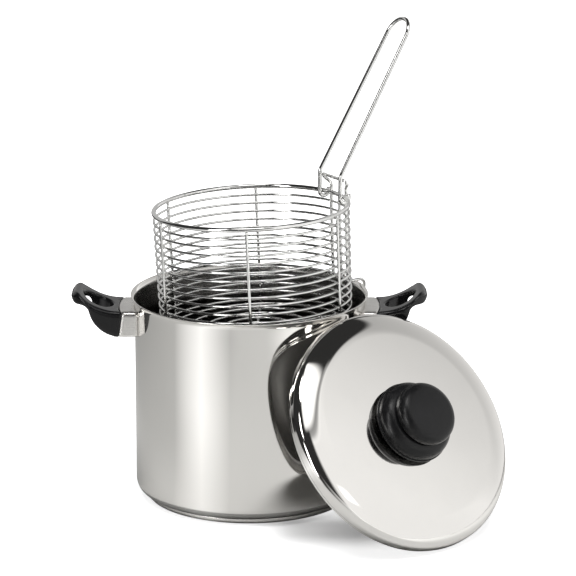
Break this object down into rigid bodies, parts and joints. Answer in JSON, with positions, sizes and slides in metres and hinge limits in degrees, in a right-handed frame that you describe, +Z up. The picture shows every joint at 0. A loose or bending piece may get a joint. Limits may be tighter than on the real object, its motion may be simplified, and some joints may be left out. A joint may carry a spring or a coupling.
{
  "type": "stove-top deep fryer",
  "caption": "Stove-top deep fryer: polished steel pot with two side handles, wire basket hung on its rim by a drain hook, folding wire basket handle and a domed lid leaning beside it",
  "frame": {"origin": "middle of the base's underside, on the table", "axes": "+Z up; side handles along X; the picture looks along +Y"},
  "size_m": [0.4123, 0.3267, 0.4507],
  "materials": {
    "polished_steel": "mirror-polished stainless steel",
    "chromed_wire": "bright chromed wire",
    "black_bakelite": "satin black phenolic moulding",
    "satin_steel": "satin pressed steel",
    "core_aluminium": "raw aluminium disc",
    "screw_steel": "plain steel",
    "brass_sleeve": "plain brass"
  },
  "bodies": {
    "pot": {"base_cap": "polished_steel", "base_core": "core_aluminium", "left_handle_bracket": "screw_steel", "left_handle_ferrule": "satin_steel", "left_handle_grip": "black_bakelite", "left_handle_screw": "screw_steel", "pot_shell": "polished_steel", "right_handle_bracket": "screw_steel", "right_handle_ferrule": "satin_steel", "right_handle_grip": "black_bakelite", "right_handle_screw": "screw_steel"},
    "basket": {"basket_bottom_ring_1": "chromed_wire", "basket_bottom_ring_2": "chromed_wire", "basket_bottom_ring_3": "chromed_wire", "basket_bottom_ring_4": "chromed_wire", "basket_bottom_ring_5": "chromed_wire", "basket_hanger": "chromed_wire", "basket_side_ring_01": "chromed_wire", "basket_side_ring_02": "chromed_wire", "basket_side_ring_03": "chromed_wire", "basket_side_ring_04": "chromed_wire", "basket_side_ring_05": "chromed_wire", "basket_side_ring_06": "chromed_wire", "basket_side_ring_07": "chromed_wire", "basket_side_ring_08": "chromed_wire", "basket_side_ring_09": "chromed_wire", "basket_side_ring_10": "chromed_wire", "basket_side_ring_11": "chromed_wire", "basket_side_ring_12": "chromed_wire", "basket_side_ring_13": "chromed_wire", "basket_side_ring_14": "chromed_wire", "basket_top_ring": "chromed_wire", "basket_upright_1": "chromed_wire", "basket_upright_2": "chromed_wire", "basket_upright_3": "chromed_wire", "basket_upright_4": "chromed_wire", "basket_upright_5": "chromed_wire", "basket_upright_6": "chromed_wire"},
    "basket_handle": {"basket_handle": "chromed_wire"},
    "lid": {"knob_insert": "brass_sleeve", "knob_screw": "screw_steel", "knob_washer": "screw_steel", "lid_knob": "black_bakelite", "lid_shell": "polished_steel"}
  },
  "joints": [
    {"name": "basket_lift", "type": "slide", "parent": "pot", "child": "basket", "axis": [0, 0, 1], "range_m": [0, 0.2]},
    {"name": "basket_handle_fold", "type": "hinge", "parent": "basket", "child": "basket_handle", "pos_m": [0.08154, 0.04636, 0.28504], "axis": [0.4688, -0.8828, 0.0315], "range_deg": [0, 112]},
    {"name": "lid_away", "type": "slide", "parent": "pot", "child": "lid", "axis": [0.6347, -0.7727, 0], "range_m": [0, 0.15]}
  ]
}
